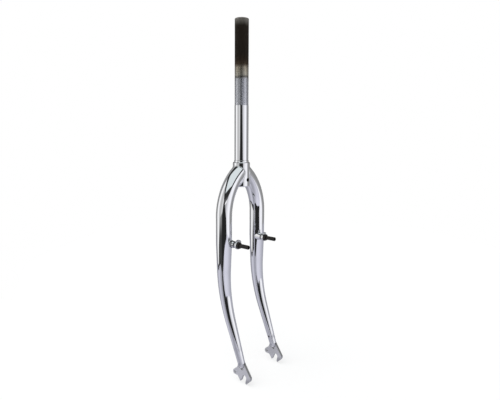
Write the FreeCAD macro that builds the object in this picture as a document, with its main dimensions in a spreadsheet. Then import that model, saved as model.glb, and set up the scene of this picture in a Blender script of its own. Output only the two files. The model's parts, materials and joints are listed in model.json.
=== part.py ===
import FreeCAD, Part
import math
import os

import Sketcher
from FreeCAD import Placement, Rotation, Vector

# Rigid unicrown fork for a 26 inch mountain bike, millimetres.
# Origin: on the steerer axis, at the shoulder that the headset's lower race rests on.
# +Z runs up the steerer, +X points forwards (the rake), +Y is the rider's left.

doc = FreeCAD.newDocument("mountain_bike_fork")

# Driving dimensions
DIMENSIONS = {
    # steerer tube
    "steerer_diameter": 28.6,
    "steerer_length": 284.0,
    "steerer_wall": 1.6,
    "butt_wall": 2.8,
    "butt_height": 60.0,
    "butt_taper": 25.0,
    "end_chamfer": 0.6,
    "thread_length": 169.0,
    "thread_relief": 0.2,
    "keyway_width": 4.6,
    "keyway_depth": 1.0,
    "race_seat_step": 0.7,
    "race_seat_height": 4.0,
    "shoulder_chamfer": 0.5,
    "crown_land": 1.6,
    "crown_skirt": 0.4,
    "crown_hole_diameter": 6.6,
    "crown_hole_drop": 35.5,
    # fork blades
    "blade_diameter": 31.8,
    "blade_wall": 1.4,
    "crown_bend_radius": 106.0,
    "crown_bend_reach": 4.0,
    "shoulder_gap": 7.5,
    "tip_diameter": 14.4,
    "tip_wall": 1.2,
    "tip_to_axle": 26.6,
    "plug_length": 6.0,
    "vent_diameter": 4.0,
    "vent_height": 17.0,
    "rake": 56.0,
    "axle_drop": 420.0,
    "rake_bend_radius": 297.0,
    "rake_bend_angle": 20.0,
    # dropouts
    "hub_spacing": 100.0,
    "plate_thickness": 6.0,
    "tang_depth": 12.0,
    "tang_inset": 0.3,
    "tang_clearance": 0.05,
    "axle_slot_width": 10.0,
    "tooth_back": 9.7,
    "tooth_drop": 8.2,
    "tooth_tip_width": 2.6,
    "tooth_root": 17.0,
    "hook_front": 13.4,
    "hook_rise": 7.6,
    "hook_radius": 10.0,
    "hook_heel": 11.4,
    "hook_heel_drop": 6.0,
    "hook_toe": 6.2,
    "hook_toe_drop": 11.4,
    "hook_tip": 3.0,
    "hook_tip_drop": 9.2,
    "hook_tip_radius": 2.1,
    "eyelet_back": 23.6,
    "eyelet_rise": 4.6,
    "eyelet_radius": 5.4,
    "eyelet_bore": 5.0,
    "eyelet_start_angle": 112.0,
    "eyelet_neck_radius": 26.0,
    "safety_slot_width": 3.0,
    "safety_slot_length": 5.4,
    "safety_slot_rise": 16.5,
    # brake bosses and their screwed in pivot studs
    "boss_inset": 9.8,
    "boss_drop": 161.0,
    "foot_inset": 6.8,
    "foot_diameter": 19.0,
    "foot_start": 6.0,
    "neck_diameter": 12.6,
    "neck_length": 2.0,
    "neck_flare": 3.0,
    "seat_diameter": 15.0,
    "seat_front": 27.0,
    "seat_lip": 1.5,
    "stud_shank_diameter": 8.0,
    "stud_shank_length": 12.0,
    "shank_clearance": 0.05,
    "shank_end_gap": 1.0,
    "spring_plate_thickness": 2.5,
    "spring_plate_diameter": 16.0,
    "spring_tab_radius": 10.8,
    "spring_tab_half_angle": 42.0,
    "spring_tab_lean": 14.0,
    "spring_hole_diameter": 2.2,
    "spring_hole_radius": 8.9,
    "spring_hole_pitch": 26.0,
    "stud_hex": 12.0,
    "stud_hex_thickness": 4.0,
    "stud_diameter": 8.0,
    "stud_length": 22.5,
    "stud_chamfer": 0.7,
    "stud_tap_diameter": 5.0,
    "stud_tap_depth": 16.0,
}

sheet = doc.addObject("Spreadsheet::Sheet", "sizes")
for row, (alias, number) in enumerate(DIMENSIONS.items(), start=1):
    sheet.set(f"A{row}", alias)
    sheet.set(f"B{row}", str(number))
    sheet.setAlias(f"B{row}", alias)
doc.recompute()


class Size:
    """A number together with the sheet expression it comes from."""

    def __init__(self, value, text):
        self.value = value
        self.text = text

    def __add__(self, other):
        other = as_size(other)
        return Size(self.value + other.value, f"({self.text} + {other.text})")

    def __sub__(self, other):
        other = as_size(other)
        return Size(self.value - other.value, f"({self.text} - {other.text})")

    def __mul__(self, other):
        other = as_size(other)
        return Size(self.value * other.value, f"({self.text} * {other.text})")

    def __truediv__(self, other):
        other = as_size(other)
        return Size(self.value / other.value, f"({self.text} / {other.text})")

    def __radd__(self, other):
        return as_size(other) + self

    def __rsub__(self, other):
        return as_size(other) - self

    def __rmul__(self, other):
        return as_size(other) * self

    def __neg__(self):
        return Size(-self.value, f"(0 - {self.text})")


def as_size(number):
    return number if isinstance(number, Size) else Size(float(number), repr(float(number)))


def size(alias):
    return Size(float(sheet.get(alias)), f"sizes.{alias}")


def sine(angle):
    return Size(math.sin(math.radians(angle.value)), f"sin({angle.text} * 1 deg)")


def cosine(angle):
    return Size(math.cos(math.radians(angle.value)), f"cos({angle.text} * 1 deg)")


def arc_cosine(ratio):
    return Size(math.degrees(math.acos(ratio.value)), f"(acos({ratio.text}) / 1 deg)")


def square_root(number):
    return Size(math.sqrt(number.value), f"sqrt({number.text})")


def bind(target, path, amount):
    target.setExpression(path, as_size(amount).text)


# Sketch helpers
def new_body(label):
    body = doc.addObject("PartDesign::Body", label)
    body.Label = label
    return body


def new_sketch(body, name, role, offset=(0.0, 0.0, 0.0), turn=None, turn_axis=Vector(0, 0, 1)):
    """A sketch on one of the body's own planes, moved and turned within that plane's frame."""
    sketch = body.newObject("Sketcher::SketchObject", name)
    plane = [item for item in body.Origin.OriginFeatures if item.Role == role][0]
    sketch.AttachmentSupport = [(plane, "")]
    sketch.MapMode = "FlatFace"
    base = [as_size(part) for part in offset]
    degrees = as_size(turn or 0.0)
    sketch.AttachmentOffset = Placement(
        Vector(*[part.value for part in base]), Rotation(turn_axis, degrees.value)
    )
    for axis, part in zip("xyz", base):
        bind(sketch, f"AttachmentOffset.Base.{axis}", part)
    if turn is not None:
        bind(sketch, "AttachmentOffset.Rotation.Angle", degrees)
    return sketch


def fix_value(sketch, kind, first, amount):
    """Adds a dimension and ties it to its sheet expression."""
    amount = as_size(amount)
    index = sketch.addConstraint(Sketcher.Constraint(kind, *first, amount.value))
    bind(sketch, f"Constraints[{index}]", amount)


def fix_point(sketch, geometry, end, point):
    fix_value(sketch, "DistanceX", (-1, 1, geometry, end), point[0])
    fix_value(sketch, "DistanceY", (-1, 1, geometry, end), point[1])


def add_circle(sketch, centre, radius):
    centre = [as_size(part) for part in centre]
    radius = as_size(radius)
    middle = Vector(centre[0].value, centre[1].value, 0)
    geometry = sketch.addGeometry(Part.Circle(middle, Vector(0, 0, 1), radius.value), False)
    fix_point(sketch, geometry, 3, centre)
    fix_value(sketch, "Radius", (geometry,), radius)


def arc_between(start, end, radius):
    """The minor arc from start to end; a positive radius turns left, a negative one right."""
    chord = end - start
    middle = (start + end) * 0.5
    left = Vector(-chord.y, chord.x, 0).normalize()
    height = math.sqrt(max(radius * radius - chord.Length ** 2 / 4, 0.0))
    centre = middle + left * math.copysign(height, radius)
    bulge = (middle - centre).normalize() if height > 1e-9 else left * -math.copysign(1.0, radius)
    return Part.Arc(start, centre + bulge * abs(radius), end)


def fix_arc(sketch, edge, start, end, radius):
    """Sets an arc between fixed ends by its radius, or a half circle by where its centre lies."""
    run = end[0].value - start[0].value
    rise = end[1].value - start[1].value
    if math.hypot(run, rise) < 1.999 * abs(radius.value):
        fix_value(sketch, "Radius", (edge,), radius if radius.value > 0 else -radius)
    elif abs(run) > abs(rise):
        fix_value(sketch, "DistanceY", (-1, 1, edge, 3), (start[1] + end[1]) / 2)
    else:
        fix_value(sketch, "DistanceX", (-1, 1, edge, 3), (start[0] + end[0]) / 2)


def add_outline(sketch, points, radii=None):
    """A closed outline through the points; radii maps a point's index to the arc that leaves it."""
    points = [(as_size(x), as_size(y)) for x, y in points]
    radii = radii or {}
    spots = [Vector(x.value, y.value, 0) for x, y in points]
    count = len(spots)
    edges = []
    for index, start in enumerate(spots):
        end = spots[(index + 1) % count]
        if index in radii:
            arc = arc_between(start, end, as_size(radii[index]).value)
            edge = sketch.addGeometry(arc, False)
            leaves_first = sketch.getPoint(edge, 1).distanceToPoint(start) < 1e-6
            edges.append((edge, 1 if leaves_first else 2, 2 if leaves_first else 1))
        else:
            edges.append((sketch.addGeometry(Part.LineSegment(start, end), False), 1, 2))
    for index, (edge, first, last) in enumerate(edges):
        following, following_first, _ = edges[(index + 1) % count]
        sketch.addConstraint(
            Sketcher.Constraint("Coincident", edge, last, following, following_first)
        )
        fix_point(sketch, edge, first, points[index])
        if index in radii:
            fix_arc(sketch, edge, points[index], points[(index + 1) % count], as_size(radii[index]))


# Feature helpers
def pad(body, name, sketch, length, reverse=False, symmetric=False):
    feature = body.newObject("PartDesign::Pad", name)
    feature.Profile = sketch
    bind(feature, "Length", length)
    feature.Reversed = reverse
    feature.SideType = "Symmetric" if symmetric else "One side"


def pocket(body, name, sketch, length=None, reverse=False, symmetric=False):
    """A cut of the given length, or right through when no length is given."""
    feature = body.newObject("PartDesign::Pocket", name)
    feature.Profile = sketch
    if length is None:
        feature.Type = "ThroughAll"
    else:
        bind(feature, "Length", length)
    feature.Reversed = reverse
    feature.SideType = "Symmetric" if symmetric else "One side"


def revolve(body, name, sketch, axis, angle=360.0, reverse=False):
    feature = body.newObject("PartDesign::Revolution", name)
    feature.Profile = sketch
    feature.ReferenceAxis = (sketch, [axis])
    bind(feature, "Angle", angle)
    feature.Reversed = reverse


# Places that several pieces share
crown_radius = size("blade_diameter") / 2 + size("crown_land")
blade_radius = size("blade_diameter") / 2
blade_offset = (size("hub_spacing") + size("plate_thickness")) / 2
crown_bend = size("crown_bend_radius")
boss_offset = blade_offset - size("boss_inset")
rake_angle = size("rake_bend_angle")
rake_bend = size("rake_bend_radius")
tail_length = (size("rake") - rake_bend * (1 - cosine(rake_angle))) / sine(rake_angle)
rake_start = size("axle_drop") - rake_bend * sine(rake_angle) - tail_length * cosine(rake_angle)
tip_forward = size("rake") - size("tip_to_axle") * sine(rake_angle)
tip_drop = size("axle_drop") - size("tip_to_axle") * cosine(rake_angle)
tip_radius = size("tip_diameter") / 2
plate_front = size("seat_front") + size("spring_plate_thickness")


def bend_height(radius):
    """Height above the bend's centre at which a circle about it meets the side of the crown section."""
    across = crown_radius + crown_bend - blade_offset
    return square_root(radius * radius - across * across)


crown_bend_drop = size("shoulder_gap") + bend_height(crown_bend + blade_radius)
crown_length = crown_bend_drop - bend_height(crown_bend - blade_radius) + size("crown_skirt")


def build_steerer():
    """One turned tube: threaded top, race seat, shoulder and the thick section that takes the blades."""
    body = new_body("steerer_tube")
    outer = size("steerer_diameter") / 2
    seat = outer + size("race_seat_step")
    bore = outer - size("steerer_wall")
    butt = outer - size("butt_wall")
    crest = outer - size("thread_relief")
    top = size("steerer_length")
    thread_start = top - size("thread_length")
    chamfer = size("end_chamfer")
    edge = size("shoulder_chamfer")
    butt_top = size("butt_height")

    section = new_sketch(body, "steerer_section", "XZ_Plane")
    add_outline(section, [
        (butt, -crown_length),
        (crown_radius - edge, -crown_length),
        (crown_radius, -crown_length + edge),
        (crown_radius, -edge),
        (crown_radius - edge, 0),
        (seat, 0),
        (seat, size("race_seat_height") - edge),
        (outer, size("race_seat_height")),
        (outer, thread_start - size("thread_relief")),
        (crest, thread_start),
        (crest, top - chamfer),
        (crest - chamfer, top),
        (bore, top),
        (bore, butt_top),
        (butt, butt_top - size("butt_taper")),
    ])
    revolve(body, "steerer_turning", section, "V_Axis")

    # Keyway down the back of the thread for the tanged headset washer
    half_key = size("keyway_width") / 2
    key_end = thread_start + half_key
    keyway = new_sketch(body, "keyway_outline", "YZ_Plane", (0, 0, size("keyway_depth") - outer))
    add_outline(keyway, [
        (-half_key, key_end),
        (half_key, key_end),
        (half_key, top + chamfer),
        (-half_key, top + chamfer),
    ], {0: half_key})
    pocket(body, "keyway", keyway, outer)

    # Fore and aft hole for a mudguard or reflector bolt
    hole = new_sketch(body, "crown_hole_outline", "YZ_Plane")
    add_circle(hole, (0, -size("crown_hole_drop")), size("crown_hole_diameter") / 2)
    pocket(body, "crown_hole", hole, symmetric=True)
    return body


def build_blade(label, side):
    """One blade: bent inwards to the crown at the top, tapered and raked forwards at the bottom."""
    body = new_body(label)
    centre = side * blade_offset
    wall = size("blade_wall")
    bend_angle = arc_cosine((size("crown_bend_reach") - blade_offset + crown_bend) / crown_bend)

    # Unicrown bend, turned about an axis that lies across the bike
    ring = new_sketch(body, "bend_ring", "XY_Plane", (0, 0, -crown_bend_drop))
    add_circle(ring, (0, centre), blade_radius)
    add_circle(ring, (0, centre), blade_radius - wall)
    hinge_y = side * (blade_offset - crown_bend)
    hinge = ring.addGeometry(
        Part.LineSegment(Vector(-1, hinge_y.value, 0), Vector(1, hinge_y.value, 0)), True
    )
    fix_point(ring, hinge, 1, (-1, hinge_y))
    fix_point(ring, hinge, 2, (1, hinge_y))
    revolve(body, "crown_bend", ring, "Axis0", bend_angle, reverse=side < 0)

    # Straight stretch behind the brake boss
    column = new_sketch(body, "column_ring", "XY_Plane", (0, 0, -crown_bend_drop))
    add_circle(column, (0, centre), blade_radius)
    add_circle(column, (0, centre), blade_radius - wall)
    pad(body, "column", column, size("boss_drop") - crown_bend_drop, reverse=True)

    # Tapered tail, swept along the rake
    path = new_sketch(body, "rake_path", "XZ_Plane", (0, 0, -centre))
    bend_end = (
        rake_bend * (1 - cosine(rake_angle)),
        -rake_start - rake_bend * sine(rake_angle),
    )
    spots = [
        (as_size(0), -size("boss_drop")),
        (as_size(0), -rake_start),
        bend_end,
        (tip_forward, -tip_drop),
    ]
    corners = [Vector(x.value, z.value, 0) for x, z in spots]
    upper = path.addGeometry(Part.LineSegment(corners[0], corners[1]), False)
    bend = path.addGeometry(arc_between(corners[1], corners[2], rake_bend.value), False)
    lower = path.addGeometry(Part.LineSegment(corners[2], corners[3]), False)
    fix_point(path, upper, 1, spots[0])
    fix_point(path, upper, 2, spots[1])
    fix_point(path, lower, 1, spots[2])
    fix_point(path, lower, 2, spots[3])
    bend_first = 1 if path.getPoint(bend, 1).distanceToPoint(corners[1]) < 1e-6 else 2
    path.addConstraint(Sketcher.Constraint("Coincident", bend, bend_first, upper, 2))
    path.addConstraint(Sketcher.Constraint("Coincident", bend, 3 - bend_first, lower, 1))
    fix_value(path, "Radius", (bend,), rake_bend)

    def tail_ring(name, place, turn, radius):
        ring_sketch = new_sketch(body, name, "XY_Plane", place, turn, Vector(0, 1, 0))
        add_circle(ring_sketch, (0, 0), radius)
        return ring_sketch

    def tail(kind, name, top_radius, end_radius):
        start = tail_ring(f"{name}_top", (0, centre, -size("boss_drop")), as_size(0), top_radius)
        end = tail_ring(f"{name}_tip", (tip_forward, centre, -tip_drop), -rake_angle, end_radius)
        feature = body.newObject(f"PartDesign::{kind}", name)
        feature.Profile = start
        feature.Spine = (path, ["Edge1", "Edge2", "Edge3"])
        feature.Transformation = "Multisection"
        feature.Sections = [(end, [""])]

    tail("AdditivePipe", "tail", blade_radius, tip_radius)
    tail("SubtractivePipe", "tail_bore", blade_radius - wall, tip_radius - size("tip_wall"))

    # Closed, rounded tip with a short plug of filler inside
    tip_frame = (tip_forward, -tip_drop, -centre)
    dome = new_sketch(body, "dome_section", "XZ_Plane", tip_frame, rake_angle)
    plug_radius = tip_radius - size("tip_wall") / 2
    add_outline(dome, [
        (0, -tip_radius),
        (tip_radius, 0),
        (plug_radius, 0),
        (plug_radius, size("plug_length")),
        (0, size("plug_length")),
    ], {0: tip_radius})
    revolve(body, "dome", dome, "V_Axis")

    # Slot for the dropout's tang
    reach = tip_radius * 2
    slot = new_sketch(body, "tang_slot_outline", "XZ_Plane", tip_frame, rake_angle)
    add_outline(slot, [
        (-reach, -reach),
        (reach, -reach),
        (reach, size("tang_depth")),
        (-reach, size("tang_depth")),
    ])
    slot_width = size("plate_thickness") + 2 * size("tang_clearance")
    pocket(body, "tang_slot", slot, slot_width, symmetric=True)

    # Vent hole on the inner face, where plating and brazing gases leave the tube
    vent = new_sketch(body, "vent_outline", "XZ_Plane", tip_frame, rake_angle)
    add_circle(vent, (0, size("vent_height")), size("vent_diameter") / 2)
    pocket(body, "vent", vent, blade_radius, reverse=side > 0)

    # Mitre onto the crown section of the steerer
    mitre = new_sketch(body, "mitre_outline", "XY_Plane")
    add_circle(mitre, (0, 0), crown_radius)
    pocket(body, "mitre", mitre, symmetric=True)
    return body


def build_dropout(label, side):
    """Plate dropout: tang in the blade, hooked axle slot, rear tooth and mudguard eyelet."""
    body = new_body(label)
    centre = side * blade_offset
    axle = (size("rake"), -size("axle_drop"), -centre)
    half_slot = size("axle_slot_width") / 2
    up_x = -sine(rake_angle)
    up_z = cosine(rake_angle)

    def on_blade(along, across):
        """A point given along the blade's tail from the axle, and across it towards the front."""
        return (up_x * along + up_z * across, up_z * along - up_x * across)

    tang_half = tip_radius - size("tang_inset")
    tang_top = size("tip_to_axle") + size("tang_depth") - size("tang_clearance")
    eyelet = size("eyelet_radius")
    eyelet_x = -size("eyelet_back")
    eyelet_z = size("eyelet_rise")
    lobe_angle = size("eyelet_start_angle")
    lobe_top = (eyelet_x + eyelet * cosine(lobe_angle), eyelet_z + eyelet * sine(lobe_angle))
    tooth_tip = (-size("tooth_back"), -size("tooth_drop"))

    outline = new_sketch(body, "dropout_outline", "XZ_Plane", axle)
    add_outline(outline, [
        on_blade(tang_top, tang_half),
        on_blade(tang_top, -tang_half),
        on_blade(size("tip_to_axle"), -tang_half),
        lobe_top,
        (eyelet_x, eyelet_z - eyelet),
        (-size("tooth_root"), eyelet_z - eyelet),
        (tooth_tip[0] - size("tooth_tip_width") / 2, tooth_tip[1]),
        (tooth_tip[0] + size("tooth_tip_width") / 2, tooth_tip[1]),
        (-half_slot, 0),
        (half_slot, 0),
        (size("hook_tip"), -size("hook_tip_drop")),
        (size("hook_toe"), -size("hook_toe_drop")),
        (size("hook_heel"), -size("hook_heel_drop")),
        (size("hook_front"), size("hook_rise")),
    ], {
        2: -size("eyelet_neck_radius"),
        3: eyelet,
        6: size("tooth_tip_width") / 2,
        8: -half_slot,
        10: size("hook_tip_radius"),
        12: size("hook_radius"),
    })
    pad(body, "plate", outline, size("plate_thickness"), symmetric=True)

    # Mudguard eyelet and the slot that catches a safety washer's tab
    holes = new_sketch(body, "eyelet_outline", "XZ_Plane", axle)
    add_circle(holes, (eyelet_x, eyelet_z), size("eyelet_bore") / 2)
    pocket(body, "eyelet", holes, symmetric=True)
    tab = new_sketch(body, "safety_slot_outline", "XZ_Plane", axle)
    rise = size("safety_slot_rise")
    half_width = size("safety_slot_width") / 2
    half_run = (size("safety_slot_length") - size("safety_slot_width")) / 2
    add_outline(tab, [
        on_blade(rise + half_width, half_run),
        on_blade(rise + half_width, -half_run),
        on_blade(rise - half_width, -half_run),
        on_blade(rise - half_width, half_run),
    ], {1: half_width, 3: half_width})
    pocket(body, "safety_slot", tab, symmetric=True)
    return body


def build_boss(label, side):
    """Brake boss: a foot mitred onto the blade, a waisted neck and a seat for the spring plate."""
    body = new_body(label)
    axis_y = side * boss_offset
    foot_y = side * (blade_offset - size("foot_inset"))
    drop = -size("boss_drop")
    neck = size("neck_diameter") / 2
    lip = size("seat_front") - size("seat_lip")
    neck_start = lip - size("neck_flare") - size("neck_length")

    foot = new_sketch(body, "foot_ring", "YZ_Plane", (0, 0, size("foot_start")))
    add_circle(foot, (foot_y, drop), size("foot_diameter") / 2)
    waist = new_sketch(body, "neck_ring", "YZ_Plane", (0, 0, neck_start))
    add_circle(waist, (axis_y, drop), neck)
    loft = body.newObject("PartDesign::AdditiveLoft", "foot")
    loft.Profile = foot
    loft.Sections = [(waist, [""])]

    collar = new_sketch(body, "neck_section", "XZ_Plane", (0, drop, -axis_y))
    shank = size("stud_shank_diameter") / 2 + size("shank_clearance")
    bore_end = plate_front - size("stud_shank_length") - size("shank_end_gap")
    seat = size("seat_diameter") / 2
    add_outline(collar, [
        (neck_start, shank),
        (size("seat_front"), shank),
        (size("seat_front"), seat),
        (lip, seat),
        (lip - size("neck_flare"), neck),
        (neck_start, neck),
    ])
    revolve(body, "neck", collar, "H_Axis")

    bore = new_sketch(body, "shank_bore_ring", "YZ_Plane", (0, 0, bore_end))
    add_circle(bore, (axis_y, drop), shank)
    pocket(body, "shank_bore", bore, neck_start - bore_end, reverse=True)

    saddle = new_sketch(body, "saddle_outline", "XY_Plane")
    add_circle(saddle, (0, side * blade_offset), blade_radius)
    pocket(body, "saddle", saddle)
    return body


def build_spring_plate(label, side):
    """Stamped plate behind the stud's hexagon; its raised tab has the holes for the brake springs."""
    body = new_body(label)
    axis_y = side * boss_offset
    drop = -size("boss_drop")
    half = size("spring_tab_half_angle")
    lean = size("spring_tab_lean")
    disc = size("spring_plate_diameter") / 2

    def spot(radius, angle):
        """A point about the stud axis; the angle is from straight up, towards the wheel."""
        return (axis_y - side * (radius * sine(angle)), drop + radius * cosine(angle))

    plate = new_sketch(body, "spring_plate_outline", "YZ_Plane", (0, 0, size("seat_front")))
    add_circle(plate, (axis_y, drop), disc)
    pad(body, "disc", plate, size("spring_plate_thickness"))

    tab = new_sketch(body, "spring_tab_outline", "YZ_Plane", (0, 0, size("seat_front")))
    rim = size("spring_tab_radius")
    add_outline(tab, [
        spot(disc / 2, lean + half),
        spot(rim, lean + half),
        spot(rim, lean - half),
        spot(disc / 2, lean - half),
    ], {1: -side * rim})
    pad(body, "tab", tab, size("spring_plate_thickness"))

    holes = new_sketch(body, "spring_holes", "YZ_Plane", (0, 0, size("seat_front")))
    for step in (-1, 0, 1):
        place = spot(size("spring_hole_radius"), lean + step * size("spring_hole_pitch"))
        add_circle(holes, place, size("spring_hole_diameter") / 2)
    shank = size("stud_shank_diameter") / 2 + size("shank_clearance")
    add_circle(holes, (axis_y, drop), shank)
    pocket(body, "holes", holes, symmetric=True)
    return body


def build_stud(label, side):
    """Pivot stud: threaded shank, hexagon and the plain post that the brake arm turns on."""
    body = new_body(label)
    axis_y = side * boss_offset
    drop = -size("boss_drop")
    shank = size("stud_shank_diameter") / 2
    post = size("stud_diameter") / 2
    hex_front = plate_front + size("stud_hex_thickness")
    tip = hex_front + size("stud_length")
    chamfer = size("stud_chamfer")
    tap = size("stud_tap_diameter") / 2

    hexagon = new_sketch(body, "hexagon_outline", "YZ_Plane", (0, 0, plate_front))
    flat = size("stud_hex") / 2
    corner = flat / cosine(as_size(30))
    add_outline(hexagon, [
        (axis_y + corner * cosine(as_size(60 * step)), drop + corner * sine(as_size(60 * step)))
        for step in range(6)
    ])
    pad(body, "hexagon", hexagon, size("stud_hex_thickness"))

    section = new_sketch(body, "stud_section", "XZ_Plane", (0, drop, -axis_y))
    shank_end = plate_front - size("stud_shank_length")
    add_outline(section, [
        (shank_end, 0),
        (shank_end, shank - chamfer),
        (shank_end + chamfer, shank),
        (plate_front, shank),
        (hex_front, post),
        (tip - chamfer, post),
        (tip, post - chamfer),
        (tip, tap),
        (tip - size("stud_tap_depth"), tap),
        (tip - size("stud_tap_depth"), 0),
    ])
    revolve(body, "turning", section, "H_Axis")
    return body


parts = [build_steerer()]
for name, side in (("left", 1), ("right", -1)):
    parts.append(build_blade(f"{name}_blade", side))
    parts.append(build_dropout(f"{name}_dropout", side))
    parts.append(build_boss(f"{name}_brake_boss", side))
    parts.append(build_spring_plate(f"{name}_spring_plate", side))
    parts.append(build_stud(f"{name}_pivot_stud", side))

doc.recompute()

for item in doc.Objects:
    if "Invalid" in item.State or "Error" in item.State:
        raise RuntimeError(f"{item.Label} failed: {item.State}")
for part in parts:
    if part.Shape.isNull() or not part.Shape.isValid() or len(part.Shape.Solids) != 1:
        raise RuntimeError(f"{part.Label} is not one valid solid")

os.makedirs("parts", exist_ok=True)
for part in parts:
    part.Shape.exportStep(f"parts/{part.Label}.step")
    box = part.Shape.BoundBox
    print(
        f"{part.Label}: {part.Shape.Volume:.0f} mm3,"
        f" X {box.XMin:.1f} to {box.XMax:.1f},"
        f" Y {box.YMin:.1f} to {box.YMax:.1f},"
        f" Z {box.ZMin:.1f} to {box.ZMax:.1f}"
    )
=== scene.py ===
# %% [markdown]
# # A chromed mountain bike fork
# This lesson dresses a rigid unicrown fork: a threaded steerer tube on top, two curved and
# tapered blades below it, plate dropouts for the wheel and black pivot studs for the brakes.
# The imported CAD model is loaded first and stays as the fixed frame, so every piece made here
# goes where the CAD says. Lengths are in metres: +Z runs up the steerer and +X points forwards.

import json
import math

import bmesh
import bpy
from mathutils import Matrix, Vector


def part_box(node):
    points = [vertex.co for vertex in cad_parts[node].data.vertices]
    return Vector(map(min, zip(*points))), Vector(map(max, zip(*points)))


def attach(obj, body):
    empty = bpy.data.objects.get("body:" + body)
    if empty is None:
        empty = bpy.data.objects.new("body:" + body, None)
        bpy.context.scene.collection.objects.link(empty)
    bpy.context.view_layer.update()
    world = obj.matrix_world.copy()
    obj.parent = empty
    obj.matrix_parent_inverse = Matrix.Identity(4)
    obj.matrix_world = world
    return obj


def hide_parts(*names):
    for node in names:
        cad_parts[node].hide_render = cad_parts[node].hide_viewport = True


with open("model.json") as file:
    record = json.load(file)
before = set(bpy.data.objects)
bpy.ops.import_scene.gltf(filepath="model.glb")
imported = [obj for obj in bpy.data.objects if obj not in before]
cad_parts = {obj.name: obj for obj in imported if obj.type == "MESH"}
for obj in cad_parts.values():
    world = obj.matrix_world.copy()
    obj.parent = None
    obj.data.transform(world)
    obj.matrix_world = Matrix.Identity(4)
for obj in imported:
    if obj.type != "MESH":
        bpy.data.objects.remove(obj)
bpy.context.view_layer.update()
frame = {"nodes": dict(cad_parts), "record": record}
MM = 0.001
MOUNTS = {mount["name"]: mount for mount in frame["record"]["mounts"]}
print("nodes:", sorted(frame["nodes"]))

# %% [markdown]
# ## Small helpers for working as by hand
# Operators act on what is selected, and loading leaves the CAD nodes selected. So every step
# starts with an empty selection, and vertices are picked by where they are.

# %% Selection helpers
MERGE_GAP = 0.001 * MM
PICK_GAP = 0.01 * MM
SLIVER_WIDTH = 0.002 * MM
CRISP_ANGLE = math.radians(35.0)
TOOL_SIDES = 48
ALONG_X, ALONG_Y = (0, math.pi / 2, 0), (math.pi / 2, 0, 0)


def clear_selection():
    """Leaves edit mode and empties the selection."""
    if bpy.context.mode != "OBJECT":
        bpy.ops.object.mode_set(mode="OBJECT")
    bpy.ops.object.select_all(action="DESELECT")


def activate(piece):
    """Makes one piece the only selected and active object."""
    clear_selection()
    piece.select_set(True)
    bpy.context.view_layer.objects.active = piece


def edit(piece):
    """Opens a piece in edit mode with nothing picked."""
    activate(piece)
    bpy.ops.object.mode_set(mode="EDIT")
    bpy.ops.mesh.select_mode(type="VERT")
    bpy.ops.mesh.select_all(action="DESELECT")


def pick(test):
    """Picks the vertices of the open mesh whose place passes the test."""
    mesh = bpy.context.edit_object.data
    shape = bmesh.from_edit_mesh(mesh)
    for vertex in shape.verts:
        vertex.select_set(test(vertex.co))
    shape.select_flush_mode()
    bmesh.update_edit_mesh(mesh)


def pick_rim(test):
    """Picks the open edges of the mesh whose middle passes the test."""
    mesh = bpy.context.edit_object.data
    shape = bmesh.from_edit_mesh(mesh)
    bpy.ops.mesh.select_mode(type="EDGE")
    for edge in shape.edges:
        middle = (edge.verts[0].co + edge.verts[1].co) / 2
        edge.select_set(edge.is_boundary and test(middle))
    shape.select_flush_mode()
    bmesh.update_edit_mesh(mesh)


def settle(piece):
    """Moves an object's place, turn and scale into its mesh."""
    activate(piece)
    bpy.ops.object.transform_apply(location=True, rotation=True, scale=True)


def apply_modifier(piece, kind, **settings):
    """Adds a modifier, sets it up and applies it."""
    activate(piece)
    modifier = piece.modifiers.new(kind.title(), kind)
    for name, value in settings.items():
        setattr(modifier, name, value)
    bpy.ops.object.modifier_apply(modifier=modifier.name)


def cut_away(piece, tool):
    """Takes the tool's volume out of a piece and removes the tool."""
    apply_modifier(piece, "BOOLEAN", operation="DIFFERENCE", solver="EXACT", object=tool)
    bpy.data.objects.remove(tool)


def round_tool(radius, length, place, turn=(0, 0, 0), sides=TOOL_SIDES):
    """A cylinder to cut with."""
    clear_selection()
    bpy.ops.mesh.primitive_cylinder_add(
        vertices=sides, radius=radius, depth=length, location=place, rotation=turn
    )
    return bpy.context.object


def box_tool(size, place, lean):
    """A box to cut with, leaned forwards by an angle."""
    clear_selection()
    bpy.ops.mesh.primitive_cube_add(size=1.0, location=place, rotation=(0, -lean, 0), scale=size)
    return bpy.context.object


def close_up(piece):
    """Merges doubled vertices and turns all faces outwards."""
    edit(piece)
    bpy.ops.mesh.select_all(action="SELECT")
    bpy.ops.mesh.remove_doubles(threshold=MERGE_GAP)
    bpy.ops.mesh.normals_make_consistent(inside=False)
    clear_selection()


def drop_slivers(piece):
    """Dissolves the hair-thin faces that a cut or a bevel can leave."""
    edit(piece)
    bpy.ops.mesh.select_all(action="SELECT")
    bpy.ops.mesh.dissolve_degenerate(threshold=SLIVER_WIDTH)
    clear_selection()


def smooth(piece):
    """Smooth shading that keeps real corners crisp and large faces even."""
    activate(piece)
    bpy.ops.object.shade_smooth_by_angle(angle=CRISP_ANGLE)
    apply_modifier(piece, "WEIGHTED_NORMAL", keep_sharp=True)


def report(piece):
    """Prints a piece's size and face count."""
    spots = [vertex.co for vertex in piece.data.vertices]
    low = [round(min(spot[axis] for spot in spots) / MM, 1) for axis in range(3)]
    high = [round(max(spot[axis] for spot in spots) / MM, 1) for axis in range(3)]
    print(f"{piece.name}: {len(piece.data.polygons)} faces, mm from {low} to {high}")


# %% [markdown]
# ## Turned shapes
# The steerer is turned on a lathe, so its outline is a list of radii and heights. The Screw
# modifier could revolve such an outline, but walking a circle from ring to ring with extrude and
# scale is how one would do it by hand, and leaves evenly placed faces.


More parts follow.
